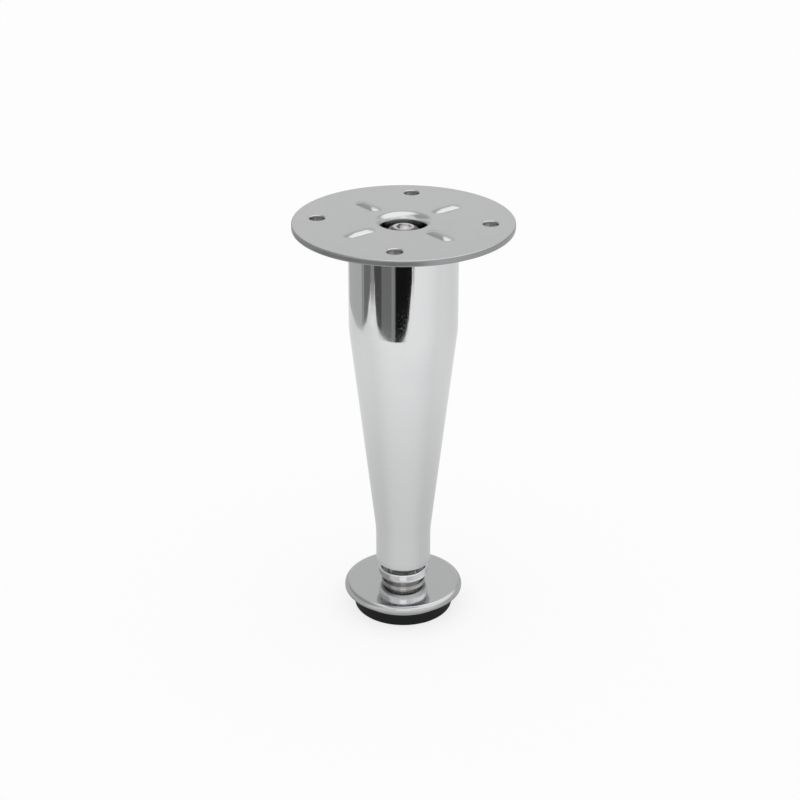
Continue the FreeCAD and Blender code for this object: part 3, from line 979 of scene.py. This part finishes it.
def bolt_steel():
    r = Recipe("bolt_steel")
    grain = r.noise(r.scaled((0.25 * MM,) * 3), detail=3.0, roughness=0.6)
    rings = r.noise(r.stretched(0.1 * MM, 2.5, 0.1 * MM), detail=2.0)
    # Painted highlight over the middle of the head, mixed with the key's wear at the socket's edge
    around_socket = 1 - (r.radius - SOCKET_FLATS / 2).ease(0.3 * MM, 2.4 * MM)
    rubbed_and_highlight = (around_socket * 0.8 + grain * 0.5 - 0.5).ease(0.1, 0.5)
    colour = r.blend(rubbed_and_highlight, OILED_STEEL, RUBBED_STEEL_AND_HIGHLIGHT)
    roughness = 0.2 + grain * 0.08 - rubbed_and_highlight * 0.06
    return r.metal(colour, roughness, grain * 0.6 + rings * 0.4, 0.006 * MM)


bolt.data.materials.append(bolt_steel())

# %% Zinc on the hidden steel
ZINC_LIGHT = (0.56, 0.57, 0.58)
ZINC_DARK = (0.38, 0.39, 0.4)


def zinc_plate():
    r = Recipe("zinc_plate")
    spangle = r.node(
        "ShaderNodeTexVoronoi", {"feature": "F1"}, {"Vector": r.scaled((1.4 * MM,) * 3)}, out="Distance"
    )
    haze = r.noise(r.scaled((3 * MM,) * 3), detail=4.0, roughness=0.6)
    rings = r.noise(r.stretched(0.12 * MM, 2.0, 0.12 * MM), detail=2.0)
    colour = r.blend(spangle * 0.6 + haze * 0.4, ZINC_LIGHT, ZINC_DARK)
    roughness = 0.28 + haze * 0.14 + rings * 0.06
    return r.metal(colour, roughness, rings * 0.6 + haze * 0.4, 0.006 * MM)


ZINC = zinc_plate()
HIDDEN_STEEL = ("lock_washer", "top_disc", "weld_nut", "threaded_bush", "pad_keeper")
for name in HIDDEN_STEEL:
    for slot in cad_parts[name].material_slots:
        slot.material = ZINC
print("zinc on", ", ".join(HIDDEN_STEEL))

# %% Black plastic on the pad
PAD_BLACK = (0.006, 0.006, 0.0065)
PAD_SCUFF = (0.035, 0.034, 0.033)


def pad_plastic():
    r = Recipe("pad_plastic")
    spark = r.noise(r.scaled((0.16 * MM,) * 3), detail=4.0, roughness=0.7)
    patches = r.noise(r.scaled((4 * MM,) * 3), detail=4.0, roughness=0.6)
    low = 1 - r.height.ease(0.1 * MM, 1.2 * MM)
    scuff = (low * 0.9 + patches * 0.6 - 0.55).ease(0.1, 0.7)
    drag = r.noise(r.stretched(0.2 * MM, 1.6, 0.15 * MM), detail=2.0)
    colour = r.blend(scuff * (0.4 + drag * 0.6), PAD_BLACK, PAD_SCUFF)
    roughness = 0.42 + spark * 0.12 + scuff * 0.15
    bumps = spark * 0.6 + drag * 0.25
    return r.finish(
        Base_Color=colour, Roughness=roughness, Specular_IOR_Level=0.25, Normal=r.relief(bumps, 0.02 * MM)
    )


pad.data.materials.append(pad_plastic())

# %% [markdown]
# ## The camera
#
# The photograph looks down on the leg from in front with a long lens. The plate's ellipse gives the
# height of the eye over the plate, and the smaller ellipse of the foot gives the distance, because it is
# seen more steeply. The screw holes stand a few degrees off the picture's axes, which gives the turn.

# %% Place the camera
VIEW_TURN = math.radians(5.5)
VIEW_PITCH = math.radians(25.437)
VIEW_PAN = math.radians(0.12)
VIEW_DISTANCE = 0.570
VIEW_HEIGHT = 0.354
FOCAL_LENGTH = 80.2


def make_camera():
    camera = bpy.data.objects.new("camera", bpy.data.cameras.new("camera"))
    bpy.context.scene.collection.objects.link(camera)
    camera.data.lens = FOCAL_LENGTH
    camera.data.sensor_width = 36.0
    camera.data.clip_start, camera.data.clip_end = 0.01, 50.0
    turn = Matrix.Rotation(VIEW_TURN, 4, "Z")
    camera.location = turn @ Vector((0, -VIEW_DISTANCE, VIEW_HEIGHT))
    camera.rotation_euler = (math.pi / 2 - VIEW_PITCH, 0, VIEW_TURN + VIEW_PAN)
    bpy.context.scene.camera = camera
    return camera


camera = make_camera()
print(f"camera at {tuple(round(value, 3) for value in camera.location)} m")

# %% [markdown]
# ## The studio
#
# Chrome has no colour of its own to show, so the studio is half of the picture. The floor is white paper,
# and the tube mirrors it. A wide soft light hangs overhead, a little to the right, and the plate mirrors
# the greyer wall behind. A smaller lamp over the camera is what shines on the collar.
#
# What gives the chrome its depth is what is dark. A photographer lays black and grey cards, called flags,
# on the camera's side of the leg, and they show as the dark bars at the top of the tube. Here they are
# seen by reflections alone, so that no view of the leg shows them and they throw no shadow. The paper and
# the flags ride on the pad, because the pad stays on the floor however far it is screwed out.

# %% A recipe for the studio's own surfaces
class StageRecipe(Recipe):
    """Nodes as in a Recipe, in the tree of a stage material or of the world."""

    def __init__(self, tree, place="Object"):
        self.tree = tree
        self.tree.nodes.clear()
        self.locate(place)

    def ray(self, kind):
        return self.node("ShaderNodeLightPath", out=kind)

    def light(self, strength):
        return self.node("ShaderNodeEmission", sockets={"Color": (1, 1, 1, 1), "Strength": strength})

    def mix(self, factor, first, second):
        return self.node("ShaderNodeMixShader", sockets={0: factor, 1: first, 2: second})

    def show(self, shader):
        """Uses a shader on the upper side, and leaves the underside clear."""
        under = self.node("ShaderNodeNewGeometry", out="Backfacing")
        surface = self.mix(under, shader, self.node("ShaderNodeBsdfTransparent"))
        self.node("ShaderNodeOutputMaterial", sockets={"Surface": surface}, out=None)


def stage_surface(thing):
    """Gives a stage object a material of its own name, with an empty tree."""
    material = bpy.data.materials.new(thing.name)
    material.use_nodes = True
    thing.data.materials.append(material)
    return StageRecipe(material.node_tree)


# %% The paper floor
PAPER_WHITE = (0.93, 0.93, 0.93, 1.0)
PAPER_SIZE = 6.0
PAPER_GLOW = 0.75        # how much of the paper's white is there whatever falls on it
# What chrome sees of the paper is painted: a shadow under the foot, shade close around it, lighter on the
# camera's side and greyer beside and behind the leg
SHADED_PAPER = 0.45      # what chrome sees of the paper under the foot, beside 1 for the open paper
SHELTERED_PAPER = 0.76   # and of the paper close around the foot
FRONT_GAIN = 0.06        # how much brighter the paper is on the camera's side
SIDE_LOSS = 0.14         # and how much greyer beside the leg and behind it
BACK_LOSS = 0.08         # and how much greyer still far behind it


def make_floor():
    """Lays the paper. Distances in its recipe are in metres from the leg's axis."""
    half = PAPER_SIZE / 2
    corners = [(-half, -half, 0), (half, -half, 0), (half, half, 0), (-half, half, 0)]
    floor = new_object("paper_floor", corners, [(0, 1, 2, 3)])
    r = stage_surface(floor)
    seen = r.ray("Is Camera Ray") + r.ray("Is Glossy Ray") + r.ray("Is Transmission Ray")
    # Painted shadow and shade on the paper, seen in glossy rays only
    near = SHADED_PAPER + (SHELTERED_PAPER - SHADED_PAPER) * r.radius.ease(0.022, 0.045)
    near = near + (1 - SHELTERED_PAPER) * r.radius.ease(0.045, 0.18)
    depth = r.y * math.cos(VIEW_TURN) - r.x * math.sin(VIEW_TURN)
    towards_camera = (0 - depth) * (r.radius + MM) ** -1.0
    side = FRONT_GAIN * (0 - depth).ease(0.05, 0.2) - BACK_LOSS * depth.ease(0.0, 0.2)
    side = side - SIDE_LOSS * (1 - towards_camera.ease(0.2, 1.02))
    glow = 1 + r.ray("Is Glossy Ray") * (near + side - 1)
    paper = r.node("ShaderNodeBsdfDiffuse", sockets={"Color": PAPER_WHITE})
    r.show(r.mix(seen * PAPER_GLOW, paper, r.light(glow)))
    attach(floor, "pad")
    floor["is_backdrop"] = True


make_floor()


# %% The walls and the ceiling, as the world
SKIRTING = 0.58       # brightness of the wall near the floor
WALL_LOW = 0.74       # and above that
WALL_HIGH = 0.58      # and above that again
LEFT_LOSS = 0.13      # the left of the room is darker
FRONT_WALL = 0.92     # behind the camera
FRONT_LAMP = 0.5      # a lamp over the camera, brighter than the wall by so much
CEILING = 1.30
CEILING_LEAN = 0.35   # the soft light overhead hangs towards the right


def make_walls():
    """Paints the room by direction. Its height is the sine of the angle above the horizon."""
    world = bpy.data.worlds.new("studio")
    bpy.context.scene.world = world
    world.use_nodes = True
    r = StageRecipe(world.node_tree, place="Generated")
    towards_camera = r.x * math.sin(VIEW_TURN) - r.y * math.cos(VIEW_TURN)
    to_the_right = r.x * math.cos(VIEW_TURN) + r.y * math.sin(VIEW_TURN)
    wall = SKIRTING + (WALL_LOW - SKIRTING) * r.height.ease(0.16, 0.27)
    wall = wall - (WALL_LOW - WALL_HIGH) * r.height.ease(0.37, 0.50)
    wall = wall - LEFT_LOSS * (0 - to_the_right).ease(0.1, 0.5) * r.height.ease(0.37, 0.55)
    front = towards_camera.ease(0.2, 0.5)
    wall = wall + (FRONT_WALL - wall) * front
    lamp = towards_camera.ease(0.76, 0.82) * (1 - to_the_right.ease(0.18, 0.28))
    lamp = lamp * (1 - (0 - to_the_right).ease(0.18, 0.28)) * r.height.ease(0.38, 0.44)
    wall = wall + FRONT_LAMP * lamp
    overhead = (r.height + to_the_right * CEILING_LEAN).ease(0.66, 0.87)
    room = wall + (CEILING - wall) * overhead
    level = 1 + r.ray("Is Glossy Ray") * (room - 1)
    background = r.node("ShaderNodeBackground", sockets={"Color": (1, 1, 1, 1), "Strength": level})
    r.node("ShaderNodeOutputWorld", sockets={"Surface": background}, out=None)


make_walls()

# %% The flags
FLAG_LIFT = 2 * MM
FLAG_FAR = 600    # mm from the leg to the far edge of a card
FLAG_STEPS = 120


def along(outline, degrees):
    """Distance of a card's near edge in one direction, between the points of its outline."""
    for (first, start), (last, end) in zip(outline, outline[1:]):
        if first <= degrees <= last:
            return start + (end - start) * (degrees - first) / (last - first)
    return FLAG_FAR


def make_flag(name, first, last, outline, level, lift=1, fade=None):
    """Lays a card from its first to its last angle, with a near edge that follows an outline.

    lift is its height in steps of FLAG_LIFT, and the highest of several cards is the one that is seen.
    fade is the stretch, in mm from the leg, over which it darkens from the paper's white to its level.
    """
    ring = [(first + (last - first) * k / FLAG_STEPS, FLAG_FAR) for k in range(FLAG_STEPS + 1)]
    ring += [(degrees, along(outline, degrees)) for degrees, _ in ring[::-1]]
    points = []
    for degrees, distance in ring:
        angle = VIEW_TURN + math.radians(degrees) - math.pi / 2
        points.append((distance * MM * math.cos(angle), distance * MM * math.sin(angle), FLAG_LIFT * lift))
    flag = new_object(name, points, [tuple(range(len(points)))])
    r = stage_surface(flag)
    if fade:
        level = 1 - (1 - level) * r.radius.ease(fade[0] * MM, fade[1] * MM)
    r.show(r.light(level))
    flag.visible_camera = False
    flag.visible_diffuse = False
    flag.visible_shadow = False
    flag.visible_transmission = False
    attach(flag, "pad")
    flag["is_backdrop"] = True
    return flag


# Near edges of the cards, as (degrees from the camera's direction, mm from the leg's axis) points
FRONT_EDGE = (
    (-62, 430), (-61.5, 366), (-59.5, 324), (-57, 302), (-52, 286), (-45, 279.5), (-37, 275), (-26, 269),
    (-16, 264), (-6, 270), (2.5, 279), (7, 290), (11, 304), (14, 325), (17, 350), (18.5, 430),
)
SIDE_EDGE = (
    (-152, 430), (-150, 300), (-126, 284), (-110, 278), (-96, 277.5), (-86.5, 283.5), (-80, 293),
    (-77, 304), (-73.5, 320), (-70, 339), (-68.5, 430),
)
GAP_EDGE = ((-70, 290), (-61, 290))
SHADE_EDGE = ((18.2, 312), (20, 330), (25, 430))
flags = [
    make_flag("black_flag", -16, 18.4, FRONT_EDGE, 0.008),
    make_flag("grey_flag", -45, -16, FRONT_EDGE, 0.185),
    make_flag("grey_flag_edge", -61.9, -45, FRONT_EDGE, 0.08),
    make_flag("grey_flag_gap", -24, -18, FRONT_EDGE, 0.28, lift=1.5),
    make_flag("far_card", -70, -61, GAP_EDGE, 0.30, lift=0.5, fade=(296, 352)),
    make_flag("black_flag_shade", 18.2, 25, SHADE_EDGE, 0.42, lift=0.5, fade=(312, 400)),
    make_flag("side_flag", -151.9, -68.6, SIDE_EDGE, 0.50),
    make_flag("side_flag_shade", -94, -68.6, SIDE_EDGE, 0.34, lift=1.25),
    make_flag("side_flag_stripe", -87, -69.5, SIDE_EDGE, 0.18, lift=1.5),
]
print("studio: paper floor, world and", len(flags), "flags")

# %% [markdown]
# ## Sizes, and the end
#
# The box of the frame's solids was kept at the start, and here it is set beside the box of what is shown.

# %% Measure and finish
VISUAL_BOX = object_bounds()
for name, box in (("solids", CAD_BOX), ("shown", VISUAL_BOX)):
    print(name, [round((high - low) / MM, 2) for low, high in zip(*box)], "mm")
